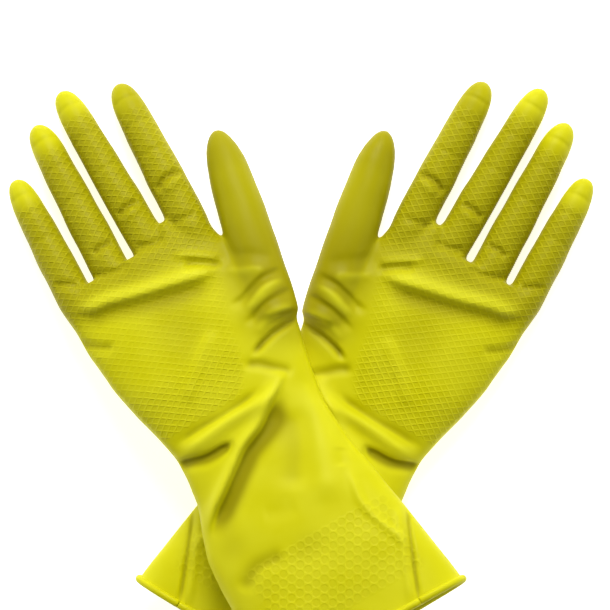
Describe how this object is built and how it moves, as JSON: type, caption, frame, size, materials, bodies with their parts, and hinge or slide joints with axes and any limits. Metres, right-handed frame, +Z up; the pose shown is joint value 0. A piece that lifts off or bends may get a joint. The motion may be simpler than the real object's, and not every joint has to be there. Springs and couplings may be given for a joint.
{
  "type": "pair of household rubber gloves",
  "caption": "Pair of gauntlet-style household rubber gloves with flock lining, gripping palm, flared cuff and rolled bead, crossed palm up.",
  "frame": {"origin": "centre of the pair's box, on the surface that the lower glove lies on", "axes": "+Z up from the backs of the gloves to the palms, +Y toward the fingertips, +X toward the side of the left glove's fingers"},
  "size_m": [0.2895, 0.301, 0.0817],
  "materials": {
    "latex": "lime-yellow dipped latex, satin, with a moulded diamond grip on the palm side",
    "bead": "rolled latex, satin",
    "flock": "short cotton flock"
  },
  "bodies": {
    "left_hand": {"left_palm": "latex", "left_palm_lining": "flock", "left_cuff": "latex", "left_cuff_lining": "flock", "left_cuff_bead": "bead"},
    "right_cuff": {"right_cuff": "latex", "right_cuff_lining": "flock", "right_cuff_bead": "bead"},
    "right_hand": {"right_palm": "latex", "right_palm_lining": "flock"},
    "left_little": {"left_little_stall": "latex", "left_little_lining": "flock"},
    "left_ring": {"left_ring_stall": "latex", "left_ring_lining": "flock"},
    "left_middle": {"left_middle_stall": "latex", "left_middle_lining": "flock"},
    "left_index": {"left_index_stall": "latex", "left_index_lining": "flock"},
    "left_thumb": {"left_thumb_stall": "latex", "left_thumb_lining": "flock"},
    "right_little": {"right_little_stall": "latex", "right_little_lining": "flock"},
    "right_ring": {"right_ring_stall": "latex", "right_ring_lining": "flock"},
    "right_middle": {"right_middle_stall": "latex", "right_middle_lining": "flock"},
    "right_index": {"right_index_stall": "latex", "right_index_lining": "flock"},
    "right_thumb": {"right_thumb_stall": "latex", "right_thumb_lining": "flock"}
  },
  "joints": [
    {"name": "right_glove_lift", "type": "slide", "parent": "left_hand", "child": "right_cuff", "axis": [0, 0, 1], "range_m": [0, 0.1]},
    {"name": "right_wrist_bend", "type": "hinge", "parent": "right_cuff", "child": "right_hand", "pos_m": [-0.02355, -0.02079, 0.05432], "axis": [0.866, 0.5, 0], "range_deg": [0, 40], "stiffness_Nm_per_rad": 0.06},
    {"name": "left_thumb_bend", "type": "hinge", "parent": "left_hand", "child": "left_thumb", "pos_m": [0.02569, 0.07665, 0.02524], "axis": [0.9511, -0.309, 0], "range_deg": [0, 60], "stiffness_Nm_per_rad": 0.02},
    {"name": "left_index_bend", "type": "hinge", "parent": "left_hand", "child": "left_index", "pos_m": [0.05948, 0.08937, 0.02144], "axis": [0.887, -0.4617, 0], "range_deg": [0, 70], "stiffness_Nm_per_rad": 0.02},
    {"name": "left_middle_bend", "type": "hinge", "parent": "left_hand", "child": "left_middle", "pos_m": [0.0787, 0.07702, 0.02104], "axis": [0.8616, -0.5075, 0], "range_deg": [0, 70], "stiffness_Nm_per_rad": 0.02},
    {"name": "left_ring_bend", "type": "hinge", "parent": "left_hand", "child": "left_ring", "pos_m": [0.09677, 0.06316, 0.02124], "axis": [0.8829, -0.4695, 0], "range_deg": [0, 70], "stiffness_Nm_per_rad": 0.02},
    {"name": "left_little_bend", "type": "hinge", "parent": "left_hand", "child": "left_little", "pos_m": [0.11467, 0.04946, 0.02079], "axis": [0.8829, -0.4695, 0], "range_deg": [0, 70], "stiffness_Nm_per_rad": 0.02},
    {"name": "right_thumb_bend", "type": "hinge", "parent": "right_hand", "child": "right_thumb", "pos_m": [-0.02712, 0.07913, 0.03941], "axis": [0.9497, 0.3113, 0.0329], "range_deg": [0, 60], "stiffness_Nm_per_rad": 0.02},
    {"name": "right_index_bend", "type": "hinge", "parent": "right_hand", "child": "right_index", "pos_m": [-0.06043, 0.09102, 0.03125], "axis": [0.8867, 0.4622, 0.0069], "range_deg": [0, 70], "stiffness_Nm_per_rad": 0.02},
    {"name": "right_middle_bend", "type": "hinge", "parent": "right_hand", "child": "right_middle", "pos_m": [-0.07963, 0.07863, 0.03103], "axis": [0.8617, 0.5074, -0.0014], "range_deg": [0, 70], "stiffness_Nm_per_rad": 0.02},
    {"name": "right_ring_bend", "type": "hinge", "parent": "right_hand", "child": "right_ring", "pos_m": [-0.09774, 0.06483, 0.03169], "axis": [0.8827, 0.4699, 0.0055], "range_deg": [0, 70], "stiffness_Nm_per_rad": 0.02},
    {"name": "right_little_bend", "type": "hinge", "parent": "right_hand", "child": "right_little", "pos_m": [-0.11562, 0.05111, 0.0317], "axis": [0.8827, 0.4699, 0.0055], "range_deg": [0, 70], "stiffness_Nm_per_rad": 0.02}
  ]
}
